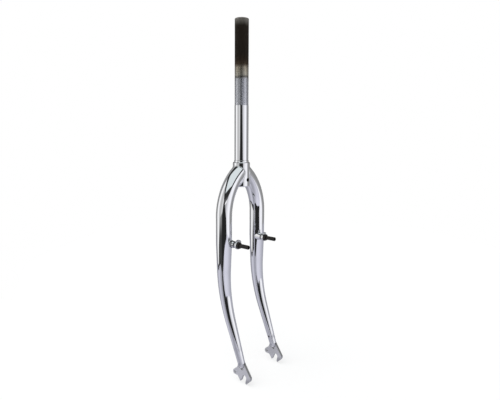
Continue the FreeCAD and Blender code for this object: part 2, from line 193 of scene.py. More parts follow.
# %% Walk a circle along an outline
def turned(name, outline, sides):
    """Extrudes a circle through the (radius, height) points of an outline, along Z."""
    (radius, height), *rest = outline
    clear_selection()
    bpy.ops.mesh.primitive_circle_add(vertices=sides, radius=radius, location=(0, 0, height))
    piece = bpy.context.object
    piece.name = name
    settle(piece)
    edit(piece)
    bpy.ops.mesh.select_all(action="SELECT")
    for next_radius, next_height in rest:
        bpy.ops.mesh.extrude_edges_move(
            TRANSFORM_OT_translate={"value": (0, 0, next_height - height)}
        )
        grow = next_radius / radius
        bpy.ops.transform.resize(value=(grow, grow, 1), center_override=(0, 0, next_height))
        radius, height = next_radius, next_height
    clear_selection()
    return piece


# %% [markdown]
# ## Nodes written as sums
# Finishes are made of shader nodes. This class holds one socket, so that a mask can be written
# as a sum or a product in Python, and one method adds any other node. Nodes placed by hand would
# do the same, but a mask of ten Math nodes is hard to read.

# %% A socket that can be added and multiplied
# Where a Mix node for colours keeps its factor, its two colours and its result
MIX_FACTOR, MIX_FIRST, MIX_SECOND, MIX_RESULT = 0, 6, 7, 2


class Wire:
    """A socket of a node tree; sums and products with it add Math nodes."""

    def __init__(self, tree, socket=None):
        self.tree = tree
        self.socket = socket

    def node(self, kind, settings=None, inputs=None, output=0):
        """Adds a node: its settings first, then the values or wires of its sockets."""
        made = self.tree.nodes.new(kind)
        for name, value in (settings or {}).items():
            if name == "stops":
                fill_ramp(made.color_ramp, value)
            else:
                setattr(made, name, value)
        for key, value in (inputs or {}).items():
            if isinstance(value, Wire):
                self.tree.links.new(value.socket, made.inputs[key])
            else:
                made.inputs[key].default_value = value
        return Wire(self.tree, made.outputs[output] if made.outputs else None)

    def maths(self, operation, first, second=0.0):
        """Adds a Math node."""
        return self.node("ShaderNodeMath", {"operation": operation}, {0: first, 1: second})

    def __add__(self, other):
        return self.maths("ADD", self, other)

    __radd__ = __add__

    def __sub__(self, other):
        return self.maths("SUBTRACT", self, other)

    def __rsub__(self, other):
        return self.maths("SUBTRACT", other, self)

    def __mul__(self, other):
        return self.maths("MULTIPLY", self, other)

    __rmul__ = __mul__

    def __truediv__(self, other):
        return self.maths("DIVIDE", self, other)

    def __abs__(self):
        return self.maths("ABSOLUTE", self)

    def root(self):
        """The square root."""
        return self.maths("SQRT", self)

    def at_least(self, least):
        """This value, or the other one where that is larger."""
        return self.maths("MAXIMUM", self, least)

    def rising(self, low, high):
        """0 below low, 1 above high and a soft step between."""
        return self.node(
            "ShaderNodeMapRange", {"interpolation_type": "SMOOTHSTEP"},
            {"Value": self, "From Min": low, "From Max": high},
        )

    def mixed(self, first, second):
        """A colour that goes from first to second as this value goes from 0 to 1."""
        return self.node(
            "ShaderNodeMix", {"data_type": "RGBA"},
            {MIX_FACTOR: self, MIX_FIRST: first, MIX_SECOND: second}, MIX_RESULT,
        )

    def between(self, rise, fall):
        """1 after the range in which it rises and before the range in which it falls."""
        return self.rising(*rise) * (1 - self.rising(*fall))

    def ramp(self, low, high, stops):
        """A colour by this value, from (place, colour) stops between low and high."""
        span = high - low
        return self.node(
            "ShaderNodeValToRGB",
            {"stops": [((place - low) / span, colour) for place, colour in stops]},
            {"Fac": (self - low) / span},
        )

    def dot(self, direction):
        """How far this vector reaches along a direction."""
        return self.node(
            "ShaderNodeVectorMath", {"operation": "DOT_PRODUCT"}, {0: self, 1: direction}, "Value"
        )


def fill_ramp(ramp, stops):
    """Sets a ramp's (position, colour) stops."""
    while len(ramp.elements) < len(stops):
        ramp.elements.new(1.0)
    for element, (position, colour) in zip(ramp.elements, stops):
        element.position = position
        element.color = colour


def diagonal(first, second):
    """The distance that two steps at right angles make."""
    return (first * first + second * second).root()


def grey(value, tint=(1.0, 1.0, 1.0)):
    """A colour of that brightness."""
    return tuple(value * part for part in tint) + (1.0,)


def new_finish(name):
    """An empty material and a wire to start its nodes from."""
    material = bpy.data.materials.new(name)
    material.use_nodes = True
    material.node_tree.nodes.clear()
    print("finish:", name)
    return material, Wire(material.node_tree)


# %% [markdown]
# ## The camera
# The photograph was taken from the front right, a little above the crown, with a short lens, so
# the near dropout sits lower in the picture than the far one. The place, turn and lens below
# come from fitting the fork's own edges to the picture.

# %% Camera
CAMERA_PLACE = Vector((0.5411, -0.6426, 0.0494))
CAMERA_BEARING = math.radians(38.879)
CAMERA_PITCH = math.radians(5.866)
CAMERA_ROLL = math.radians(0.307)
CAMERA_LENS = 29.485
CAMERA_SHIFT = -0.04
CAMERA_CLIP = 0.01

UP = Vector((0, 0, 1))
view_right = Vector((math.cos(CAMERA_BEARING), math.sin(CAMERA_BEARING), 0))
view_back = Vector((math.sin(CAMERA_BEARING), -math.cos(CAMERA_BEARING), 0))
backwards = view_back * math.cos(CAMERA_PITCH) + UP * math.sin(CAMERA_PITCH)
upwards = UP * math.cos(CAMERA_PITCH) - view_back * math.sin(CAMERA_PITCH)
camera_x = view_right * math.cos(CAMERA_ROLL) + upwards * math.sin(CAMERA_ROLL)
camera_y = upwards * math.cos(CAMERA_ROLL) - view_right * math.sin(CAMERA_ROLL)

clear_selection()
bpy.ops.object.camera_add()
camera = bpy.context.object
camera.matrix_world = Matrix.Translation(CAMERA_PLACE) @ Matrix(
    (camera_x, camera_y, backwards)
).transposed().to_4x4()
camera.data.lens = CAMERA_LENS
camera.data.shift_y = CAMERA_SHIFT
camera.data.clip_start = CAMERA_CLIP
bpy.context.scene.camera = camera
bpy.context.scene.view_settings.view_transform = "Standard"
print("camera at", tuple(round(part, 4) for part in camera.location))

# %% [markdown]
# ## The studio that the chrome mirrors
# A polished tube has hardly any colour of its own: what draws it is the room around it. A lamp
# or two would leave it black, so the room is painted on the world instead: pale walls with one
# bright strip on the left and a broad bright side on the right, and a dark gap where the camera
# stands. Overhead a soft box hangs in a dark frame. Below the frame, on the camera's side, come a
# dim apron and a thin bright glint. The camera itself sees plain white.

# %% Paint the room on the world
world = bpy.data.worlds.new("studio")
bpy.context.scene.world = world
world.use_nodes = True
world.node_tree.nodes.clear()
room = Wire(world.node_tree)
ray = room.node("ShaderNodeTexCoord", output="Generated")
across, towards, height = ray.dot(view_right), ray.dot(view_back), ray.dot(UP)
bearing = room.maths("ARCTAN2", across, towards) * math.degrees(1)
rise = room.maths("ARCSINE", height) * math.degrees(1)

# Brightness of the walls by the bearing from the camera's side, in degrees to the right
ALL_ROUND = (-180, 180)
COOL = (0.99, 0.99, 1.03)
WALLS = (
    (-180, grey(0.1)),
    (-160, grey(0.17)),
    (-145, grey(0.42)),
    (-130, grey(0.34)),
    (-117, grey(0.12)),
    (-101, grey(0.86)),
    (-84, grey(1.15)),
    (-66, grey(0.6)),
    (-42, grey(0.54)),
    (-24, grey(0.95)),
    (18, grey(0.4, COOL)),
    (34, grey(0.74, COOL)),
    (64, grey(1.08, COOL)),
    (84, grey(1.0, COOL)),
    (91, grey(0.44, COOL)),
    (115, grey(0.28)),
    (145, grey(0.32)),
    (160, grey(0.17)),
    (180, grey(0.1)),
)
painted = bearing.ramp(*ALL_ROUND, WALLS)
print("wall stops:", len(WALLS))

# %% The dark gap and its grey flank
GAP_BEARING = -6.9
GAP_LEFT, GAP_LEFT_SPREAD, GAP_LEFT_BLUR = 15.5, 0.35, 7.0
GAP_RIGHT, GAP_RIGHT_SPREAD, GAP_RIGHT_BLUR = 26.0, 1.5, 1.5
FLANK_START, FLANK_SPREAD = -2.0, 3.0
FLANK_DROP = (10.5, 15.0)
FLANK_SHINE = grey(0.27), grey(0.06)
LEAST_DROP = -8.0
GAP_SHINE = grey(0.02)

drop = (0 - rise).at_least(LEAST_DROP)
gap_left = GAP_BEARING - GAP_LEFT - GAP_LEFT_SPREAD * drop
gap_right = GAP_BEARING + GAP_RIGHT + GAP_RIGHT_SPREAD * drop
flank_left = gap_left - (FLANK_START + FLANK_SPREAD * drop).at_least(0)
before_right = 1 - (bearing - gap_right).rising(-GAP_RIGHT_BLUR, GAP_RIGHT_BLUR)
flank = before_right * (bearing - flank_left).rising(-GAP_LEFT_BLUR, GAP_LEFT_BLUR)
gap = before_right * (bearing - gap_left).rising(-GAP_LEFT_BLUR, GAP_LEFT_BLUR)
painted = flank.mixed(painted, drop.rising(*FLANK_DROP).mixed(*FLANK_SHINE))
painted = gap.mixed(painted, GAP_SHINE)
print("gap at a bearing of", GAP_BEARING, "degrees")

# %% The soft box overhead, its dark frame, the apron and the glint
# Middle and half size on the ceiling, to the right and towards the camera, and the shine
APRON = (0.58, 3.1), (1.33, 0.5), grey(0.1)
FRAME = (0.6, 0.98), (1.58, 1.67), grey(0.03)
BOX = (0.31, 0.69), (0.9, 0.73), (0.79, 0.85, 0.86, 1.0)
BOX_BLUR = 0.06
CEILING_START = (0.05, 0.06)
# Middle and half size in degrees
GLINT_BEARING, GLINT_RISE = (14.0, 13.0), (11.9, 2.2)
GLINT_EDGE = (0.7, 1.0)
GLINT_SHINE = grey(1.0)


def overhead(middles, halves):
    """1 inside a rectangle on a flat ceiling, one unit above the fork."""
    inside = height.rising(*CEILING_START)
    for side, middle, half in zip((across, towards), middles, halves):
        off = abs(side / height.at_least(CEILING_START[0]) - middle) - half
        inside = inside * (1 - off.rising(-BOX_BLUR, BOX_BLUR))
    return inside


for middles, halves, shine in (APRON, FRAME, BOX):
    painted = overhead(middles, halves).mixed(painted, shine)

glint = 1.0
for angle, (middle, half) in ((bearing, GLINT_BEARING), (rise, GLINT_RISE)):
    glint = (1 - (abs(angle - middle) / half).rising(*GLINT_EDGE)) * glint
painted = glint.mixed(painted, GLINT_SHINE)

WHITE = grey(1.0)
seen = room.node("ShaderNodeLightPath", output="Is Camera Ray")
mirrored = room.node("ShaderNodeBackground", inputs={"Color": painted})
plain_white = room.node("ShaderNodeBackground", inputs={"Color": WHITE})
sky = room.node("ShaderNodeMixShader", inputs={0: seen, 1: mirrored, 2: plain_white})
room.node("ShaderNodeOutputWorld", inputs={"Surface": sky})
print("studio nodes:", len(world.node_tree.nodes))

# %% [markdown]
# ## Floor and lamp
# The fork stands on a pale table, which is what the lower half of each blade mirrors. The table
# ends a little before the camera. On the left and in front it has a dark rim, a painted shadow
# that stands in for the table's shaded front edge, and beyond its edge the blades mirror the dark
# gap again. Chrome sees the table with a lavender cast that changes with the bearing, a grey pool
# round the fork, which the dropouts mirror, and a soft painted shade on the front right. The camera
# sees white paper, mixed with a little lit paper that keeps the fork's soft shadow. A plain white
# plane would be simpler, but the lower blades would lose their bands.

# %% Floor
FLOOR_LEVEL = -0.434
TABLE_EDGE = (
    (-180, 1.7), (-150, 1.5), (-130, 1.1), (-115, 0.75), (-100, 0.64), (-90, 0.62),
    (-80, 0.63), (-70, 0.68), (-52, 0.7), (-44, 0.66), (-36, 0.61), (-28, 0.59),
    (-20, 0.585), (-12, 0.6), (-6, 0.67), (1, 0.79), (7, 0.87), (17, 0.96), (25, 1.0),
    (33, 1.04), (38, 1.12), (45, 1.2), (54, 1.15), (75, 1.08), (90, 1.15), (110, 1.4),
    (145, 1.6),
)
# Where the rim has a dark band of painted shadow, the table's shaded front edge
DARK_EDGE = (-112, -4)
DARK_EDGE_GROWTH = 1.11
LAVENDER = (0.97, 0.97, 1.1)
FLOOR_SHINE = (
    (-180, grey(0.32, LAVENDER)),
    (-120, grey(0.38, LAVENDER)),
    (-82, grey(0.68, LAVENDER)),
    (-60, grey(0.56, LAVENDER)),
    (-38, grey(0.36, LAVENDER)),
    (-18, grey(0.42, LAVENDER)),
    (2, grey(0.68, LAVENDER)),
    (20, grey(0.78, LAVENDER)),
    (60, grey(0.7, LAVENDER)),
    (90, grey(0.54, LAVENDER)),
    (130, grey(0.42, LAVENDER)),
    (180, grey(0.32, LAVENDER)),
)
clear_selection()
bpy.ops.mesh.primitive_circle_add(vertices=len(TABLE_EDGE), fill_type="NGON")
floor = bpy.context.object
floor.name = "floor"
for vertex, (degrees, distance) in zip(floor.data.vertices, TABLE_EDGE):
    turn = math.radians(degrees)
    outwards = view_right * math.sin(turn) + view_back * math.cos(turn)
    vertex.co = outwards * distance + UP * FLOOR_LEVEL


def on_dark_edge(spot):
    """True on the stretch of the rim that gets the dark band of painted shadow."""
    turn = math.degrees(math.atan2(spot.dot(view_right), spot.dot(view_back)))
    return DARK_EDGE[0] < turn < DARK_EDGE[1]


edit(floor)
pick_rim(on_dark_edge)
bpy.ops.mesh.extrude_edges_move()
bpy.ops.transform.resize(
    value=(DARK_EDGE_GROWTH, DARK_EDGE_GROWTH, 1), center_override=(0, 0, FLOOR_LEVEL)
)
clear_selection()
table_top = max(face.area for face in floor.data.polygons)
for face in floor.data.polygons:
    face.material_index = int(face.area < table_top)
report(floor)

# %% Floor paper
SHADOW_SHARE = 0.25
LIT_PAPER = grey(0.85)
SHADE_NEAR, SHADE_FAR = (0.12, 0.2), (0.22, 0.65)
SHADE_START, SHADE_END = (-30, 20), (95, 140)
SHADE_DEPTH, SHADE_SHINE = 0.6, grey(0.15, LAVENDER)
POOL_EDGE, POOL_MIDDLE = (0.11, 0.17), (0.03, 0.06)
POOL_SHINE = grey(0.4, LAVENDER), grey(0.5, LAVENDER)
# The rim's near black is painted shadow for the table's shaded front edge
EDGE_SHADOW_SHINE = grey(0.04)


def object_spots(start):
    """The place of each spot of a surface, in the fork's frame."""
    return start.node("ShaderNodeTexCoord", output="Object")


def paper_surface(start, shine):
    """White for the camera, with a soft shadow, and the given shine for chrome."""
    seen = start.node("ShaderNodeLightPath", output="Is Camera Ray")
    glossy = start.node("ShaderNodeLightPath", output="Is Glossy Ray")
    through = start.node("ShaderNodeLightPath", output="Is Transmission Ray")
    lit = start.node("ShaderNodeBsdfDiffuse", inputs={"Color": LIT_PAPER})
    shown = start.node("ShaderNodeEmission", inputs={"Color": seen.mixed(shine, WHITE)})
    share = (seen * (1 - SHADOW_SHARE)).at_least(glossy).at_least(through)
    surface = start.node("ShaderNodeMixShader", inputs={0: share, 1: lit, 2: shown})
    start.node("ShaderNodeOutputMaterial", inputs={"Surface": surface})


paper, start = new_finish("floor_paper")
spots = object_spots(start)
sides = [spots.dot(way) for way in (view_right, view_back)]
floor_bearing = start.maths("ARCTAN2", *sides) * math.degrees(1)
distance = diagonal(*sides)
shine = floor_bearing.ramp(*ALL_ROUND, FLOOR_SHINE)
pool = 1 - distance.rising(*POOL_EDGE)
shine = pool.mixed(shine, distance.rising(*POOL_MIDDLE).mixed(*POOL_SHINE))
shade = distance.between(SHADE_NEAR, SHADE_FAR) * SHADE_DEPTH
shade = shade * floor_bearing.between(SHADE_START, SHADE_END)
paper_surface(start, shade.mixed(shine, SHADE_SHINE))
table_edge_shadow, start = new_finish("floor_edge")
paper_surface(start, EDGE_SHADOW_SHINE)
floor.data.materials.append(paper)
floor.data.materials.append(table_edge_shadow)

# %% [markdown]
# One broad sun casts the soft shadow. An area lamp could do it too, but a sun lights the whole
# fork evenly. It stays out of the mirror images, which the painted room gives already.

# %% Lamp
LAMP_PLACE = (-0.6, -0.9, 1.9)
LAMP_TARGET = Vector((0, 0, -0.1))
LAMP_SPREAD = math.radians(70)
LAMP_POWER = 3.0
clear_selection()
bpy.ops.object.light_add(type="SUN", location=LAMP_PLACE)
lamp = bpy.context.object
lamp.data.angle = LAMP_SPREAD
lamp.data.energy = LAMP_POWER
lamp.visible_glossy = False
lamp.rotation_euler = (LAMP_TARGET - lamp.location).to_track_quat("-Z", "Y").to_euler()
print("lamp at", LAMP_PLACE)

# %% [markdown]
# ## Finishes
# The blades, bosses and tube are polished and chromed. Chrome is a bluish white metal; polishing
# leaves it slightly uneven, so a faint noise moves its roughness and its surface. The plating
# gets duller and blotched towards the blade tips, where the polishing wheel did not reach well.
# A painted picture of chrome would carry one room with it, while these nodes mirror any room.

# %% Mirror chrome
CHROME = (0.86, 0.866, 0.885, 1.0)
POLISH, POLISH_HAZE, POLISH_RELIEF = 0.035, 0.03, 0.00003
HAZE_SCALE = 30.0
DULL_LEVELS, DULL_ROUGH = (-0.386, -0.345), 0.1
BLOTCH_SCALE, BLOTCH_STRETCH, BLOTCH_DETAIL = 150.0, (1.0, 1.0, 0.5), 2.0
BLOTCH_RANGE, BLOTCH_SHARE = (0.52, 0.68), 0.55
BLOTCH_COLOUR = (0.3, 0.3, 0.34, 1.0)


def surface_noise(spots, scale, stretch=(1, 1, 1), detail=3.0):
    """Noise over the surface, finer by scale and drawn out by stretch."""
    placed = spots.node("ShaderNodeMapping", inputs={"Vector": spots, "Scale": stretch})
    return spots.node(
        "ShaderNodeTexNoise", inputs={"Vector": placed, "Scale": scale, "Detail": detail}
    )


def metal(start, colour, rough, height, relief, metallic=1.0):
    """A metal shader whose surface follows the height, by a relief in metres."""
    bump = start.node(
        "ShaderNodeBump", inputs={"Strength": 1.0, "Distance": relief, "Height": height}
    )
    shader = start.node("ShaderNodeBsdfPrincipled", inputs={
        "Base Color": colour, "Metallic": metallic, "Roughness": rough, "Normal": bump,
    })
    start.node("ShaderNodeOutputMaterial", inputs={"Surface": shader})


def along_axis(spots, axis):
    """How far each spot lies along X, Y or Z."""
    return spots.node("ShaderNodeSeparateXYZ", inputs={0: spots}, output=axis)


mirror_chrome, start = new_finish("mirror_chrome")
spots = object_spots(start)
haze = surface_noise(spots, HAZE_SCALE)
dull = 1 - along_axis(spots, "Z").rising(*DULL_LEVELS)
blotches = surface_noise(spots, BLOTCH_SCALE, BLOTCH_STRETCH, BLOTCH_DETAIL)
blotches = blotches.rising(*BLOTCH_RANGE)
colour = (blotches * dull * BLOTCH_SHARE).mixed(CHROME, BLOTCH_COLOUR)
rough = POLISH + POLISH_HAZE * haze + DULL_ROUGH * dull
metal(start, colour, rough, haze, POLISH_RELIEF)

# %% [markdown]
# The bosses are chromed too. The crevice beside the blade and the neck behind the stud get darker
# chrome, a painted shade that stands in for the shade and dark reflections in these hollows. It
# could be painted on by hand. Here it follows the distance from the blade's middle and the place
# along the boss, so both sides get the same.

# %% Boss chrome with painted shade in the crevices
BLADE_RADIUS = 15.9 * MM
CREVICE_EDGE = (BLADE_RADIUS + 0.8 * MM, BLADE_RADIUS + 2.2 * MM)
CREVICE_WANDER = 1.5 * MM
# Painted shade in the neck and the crevice: its depth, colour and roughness
NECK_START, NECK_END, NECK_SHADE = (19.8 * MM, 20.3 * MM), (22.9 * MM, 23.5 * MM), 0.85
SHADED_CHROME, CREVICE_ROUGH = (0.07, 0.068, 0.07, 1.0), 0.2
BOSS_POLISH, BOSS_HAZE, BOSS_RELIEF, BOSS_HAZE_SCALE = 0.05, 0.05, 0.00004, 120.0
axle = Vector(MOUNTS["left_axle_slot"]["pos_m"])
boss_chrome, start = new_finish("boss_chrome")
spots = object_spots(start)
haze = surface_noise(spots, BOSS_HAZE_SCALE)
forwards = along_axis(spots, "X")
beside = abs(along_axis(spots, "Y")) - axle.y
from_blade = diagonal(forwards, beside) + (haze - 0.5) * CREVICE_WANDER
# Painted shade: darker chrome in the crevice and neck, where shade and dark reflections fall
crevice = 1 - from_blade.rising(*CREVICE_EDGE)
shade_and_stain = crevice.at_least(forwards.between(NECK_START, NECK_END) * NECK_SHADE)
colour = shade_and_stain.mixed(CHROME, SHADED_CHROME)
rough = BOSS_POLISH + BOSS_HAZE * haze + CREVICE_ROUGH * shade_and_stain
metal(start, colour, rough, haze, BOSS_RELIEF)

# %% [markdown]
# The dropouts are plated unpolished, so they are satin with a fine grain. Their trimmed edges are
# darker, the seam round the brazed tip is part braze stain and part painted shade, and the hook is
# darkened by painted shade. One even grey would look like plastic, so each dark mark is worked out
# from where a spot lies on the plate.

# %% Satin chrome: places on the dropout
RAKE_ANGLE = math.radians(20.0)
TIP_TO_AXLE = 26.6 * MM
LONG_HOLE_RISE = 16.5 * MM
tail_way = Vector((math.sin(RAKE_ANGLE), 0, -math.cos(RAKE_ANGLE)))
tip = axle - tail_way * TIP_TO_AXLE
plate_low, plate_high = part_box("left_dropout")
plate_middle = (plate_low.y + plate_high.y) / 2
plate_half = (plate_high.y - plate_low.y) / 2
satin_chrome, start = new_finish("satin_plating")
spots = object_spots(start)
forwards, level = along_axis(spots, "X"), along_axis(spots, "Z")


def distance_from(place):
    """How far each spot lies from a place, seen along the axle."""
    return diagonal(forwards - place[0], level - place[2])


eyelet = MOUNTS["left_mudguard_eyelet"]
eyelet_radius = eyelet["dims"]["r_mm"] * MM
long_hole = axle - tail_way * LONG_HOLE_RISE
across_plate = abs(abs(along_axis(spots, "Y")) - plate_middle)
below_tip = (forwards - tip.x) * tail_way.x + (level - tip.z) * tail_way.z
print("blade tip at", tuple(round(part, 4) for part in tip))

# %% Satin chrome: dark edges, braze stain, painted shade and grain
SATIN = (0.86, 0.865, 0.865, 1.0), (0.97, 0.97, 0.955, 1.0)
# Colour of the darker marks: trimmed edges, braze stain and painted shade
SHADE_AND_STAIN_SATIN = (0.2, 0.2, 0.215, 1.0)
SATIN_ROUGH, SATIN_GRAIN, SATIN_RELIEF = 0.26, 0.14, 0.00004
GRAIN_SCALE, GRAIN_STRETCH, CLOUD_SCALE = 260.0, (1.0, 1.0, 0.35), 70.0
TRIMMED_EDGE = (plate_half - 1.0 * MM, plate_half - 0.4 * MM)
EYELET_EDGE = (eyelet_radius, eyelet_radius + 1.0 * MM)
LONG_HOLE_EDGE = (2.8 * MM, 3.6 * MM)
SEAM_START, SEAM_END = (6.9 * MM, 7.4 * MM), (8.6 * MM, 9.6 * MM)
SEAM_TOP, SEAM_WANDER = (-2.0 * MM, 0.0), 1.0 * MM
HOOK_START = (TIP_TO_AXLE - 1.0 * MM, TIP_TO_AXLE + 9.0 * MM)
# How dark each mark is: trimmed edges, seam (braze stain and painted shade), hook (painted shade)
TRIM_DARKENING, SEAM_SHADE_AND_STAIN, HOOK_SHADE = 0.6, 0.85, 0.45

grain = surface_noise(spots, GRAIN_SCALE, GRAIN_STRETCH)
clouds = surface_noise(spots, CLOUD_SCALE)
trimmed = 1 - across_plate.rising(*TRIMMED_EDGE)
trimmed = trimmed * distance_from(eyelet["pos_m"]).rising(*EYELET_EDGE)
trimmed = trimmed * distance_from(long_hole).rising(*LONG_HOLE_EDGE)
from_tip = distance_from(tip) + (clouds - 0.5) * SEAM_WANDER
# Seam: braze stain and a painted shade line at the dome. Hook: painted shade.
seam = from_tip.between(SEAM_START, SEAM_END) * below_tip.rising(*SEAM_TOP)
hook = below_tip.rising(*HOOK_START)
shade_and_stain = (trimmed * TRIM_DARKENING).at_least(seam * SEAM_SHADE_AND_STAIN).at_least(hook * HOOK_SHADE)
colour = shade_and_stain.mixed(clouds.mixed(*SATIN), SHADE_AND_STAIN_SATIN)
metal(start, colour, SATIN_ROUGH + SATIN_GRAIN * grain, grain, SATIN_RELIEF)
print("satin nodes:", len(satin_chrome.node_tree.nodes))

# %% [markdown]
# The steerer is polished only where it shows on a built bicycle. Its thread was masked: the
# lowest turns have thin matt plating, then comes a tan edge where the plating fades, and the
# rest is bare steel gone nearly black with oil. Three materials would meet in hard rings, so one
# ramp over the height, shifted by noise, gives them all.

# %% Steerer finish by height
THREAD_START = 0.115
MASK_EDGE = 0.0004
STAIN_SCALE, STAIN_STRETCH, STAIN_WANDER = 90.0, (1, 1, 0.5), 0.008
MATT_ROUGH, MATT_STAIN = 0.16, 0.1
BARE_LEVELS, BARE_ROUGH, BARE_OIL = (0.188, 0.2), 0.25, 0.45
FADE_LEVELS = (0.1, 0.3)
FADE = (
    (0.118, (0.78, 0.79, 0.82, 1.0)),
    (0.166, (0.72, 0.73, 0.755, 1.0)),
    (0.17, (0.36, 0.35, 0.33, 1.0)),
    (0.174, (0.66, 0.64, 0.575, 1.0)),
    (0.188, (0.58, 0.54, 0.465, 1.0)),
    (0.195, (0.13, 0.095, 0.066, 1.0)),
    (0.203, (0.055, 0.038, 0.026, 1.0)),
    (0.215, (0.042, 0.033, 0.025, 1.0)),
    (0.268, (0.046, 0.035, 0.026, 1.0)),
    (0.279, (0.28, 0.265, 0.24, 1.0)),
    (0.29, (0.55, 0.53, 0.49, 1.0)),
)
steerer_finish, start = new_finish("steerer_finish")
spots = object_spots(start)
level = along_axis(spots, "Z")
haze = surface_noise(spots, HAZE_SCALE)
shade_and_stain = surface_noise(spots, STAIN_SCALE, STAIN_STRETCH)
wander = level + (shade_and_stain - 0.5) * STAIN_WANDER
threaded = level.rising(THREAD_START - MASK_EDGE, THREAD_START)
bare = wander.rising(*BARE_LEVELS)
colour = threaded.mixed(CHROME, wander.ramp(*FADE_LEVELS, FADE))
rough = POLISH + POLISH_HAZE * haze + threaded * (MATT_ROUGH + MATT_STAIN * shade_and_stain)
rough = rough + bare * BARE_ROUGH

# %% Steerer finish: the bore and the cross hole are never polished or plated
HOLE_EDGE, BORE_EDGE = (0.5 * MM, 0.8 * MM), (0.1 * MM, 0.3 * MM)
RAW_STEEL, RAW_ROUGH = (0.03, 0.027, 0.025, 1.0), 0.4
hole = MOUNTS["crown_hole"]
hole_radius = hole["dims"]["r_mm"] * MM
bore_radius = MOUNTS["quill_bore"]["dims"]["r_mm"] * MM
sideways, forwards = along_axis(spots, "Y"), along_axis(spots, "X")
lift = level - hole["pos_m"][2]
outside_hole = diagonal(sideways, lift).rising(*(hole_radius + edge for edge in HOLE_EDGE))
outside_bore = diagonal(sideways, forwards).rising(*(bore_radius + edge for edge in BORE_EDGE))
plated = outside_hole * outside_bore
colour = plated.mixed(RAW_STEEL, colour)
rough = rough + (1 - plated) * RAW_ROUGH
metal(start, colour, rough, haze, POLISH_RELIEF, 1 - BARE_OIL * bare)
print("steerer finish nodes:", len(steerer_finish.node_tree.nodes))

# %% [markdown]
# The spring plates are bright zinc and the studs oiled black oxide. They differ only in numbers,
# so one function makes both: soft clouds of noise move the colour, the gloss and the surface.

# %% Zinc and black oxide
ZINC = (0.7, 0.71, 0.72, 1.0), (0.82, 0.83, 0.83, 1.0)
OXIDE = (0.012, 0.011, 0.011, 1.0), (0.04, 0.034, 0.03, 1.0)


def clouded(name, scale, colours, rough, metallic, relief):
    """A metal that drifts in soft clouds; rough is its least value and what the clouds add."""
    material, start = new_finish(name)
    clouds = surface_noise(object_spots(start), scale)
    colour = clouds.mixed(*colours)
    metal(start, colour, rough[0] + rough[1] * clouds, clouds, relief, metallic)
    return material


zinc_plate = clouded(
    "bright_zinc", scale=180.0, colours=ZINC, rough=(0.2, 0.12), metallic=1.0, relief=0.00002
)
black_oxide = clouded(
    "oiled_black_oxide", scale=220.0, colours=OXIDE, rough=(0.3, 0.2), metallic=0.6, relief=0.00003
)

# %% [markdown]
# ## Handing a piece to the frame
# Each finished piece gets its material, takes the place of its CAD node and rides on the one
# body that the fork is. The right side is a mirrored copy, with its faces turned back outwards.

# %% Dress a piece
SLOT_FINISH = {
    "polished_chrome": mirror_chrome,
    "satin_chrome": satin_chrome,
    "zinc_plate": zinc_plate,
    "black_oxide": black_oxide,
}


def dress(piece, slot, node=None, finish=None):
    """Gives a piece its finish, the slot's own unless one is given, and lets it stand for its CAD
    node.
    """
    piece.data.materials.clear()
    piece.data.materials.append(finish or SLOT_FINISH[slot])
    if node:
        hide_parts(node)
    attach(piece, "root")
    report(piece)


def mirror_copy(piece, name):
    """The same piece for the other side of the bike, with its own mesh."""
    copy = piece.copy()
    copy.data = piece.data.copy()
    copy.name = name
    bpy.context.scene.collection.objects.link(copy)
    copy.scale = (1, -1, 1)
    settle(copy)
    edit(copy)
    bpy.ops.mesh.select_all(action="SELECT")
    bpy.ops.mesh.flip_normals()
    clear_selection()
    return copy


# %% [markdown]
# ## Steerer tube
# The steerer is one turned tube. Its smooth part is walked ring by ring from the top edge down
# the bore, out over the crown section and up to the thread, and the thread is a real helix from
# the Screw modifier, bridged to the tube at both ends. A bump texture would be lighter, but the
# thread catches light edge by edge, and the outline would stay straight.

# %% Steerer: the plain tube
STEERER_SIDES = 144
CHAMFER = 0.6 * MM
EDGE = 0.5 * MM
BORE_CHAMFER = 0.2 * MM
BUTT_RADIUS = 11.5 * MM
BUTT_HEIGHT = 60.0 * MM
BUTT_TAPER = 25.0 * MM
BUTT_CHAMFER = 0.4 * MM
SEAT_HEIGHT = 4.0 * MM
SEAT_CHAMFER = 0.7 * MM
SEAT_FILLET = (0.2 * MM, 0.3 * MM)
SEAT_RELIEF = 0.35 * MM
SHOULDER_CHAMFER = (1.5 * MM, 1.05 * MM)
CROWN_TRIM = 1.5 * MM
CROWN_ROUND = 1.6 * MM
CROWN_CORNER = 0.3 * CROWN_ROUND
THREAD_RELIEF = 0.2 * MM
THREAD_APPROACH = (1.2 * MM, 0.5 * MM)

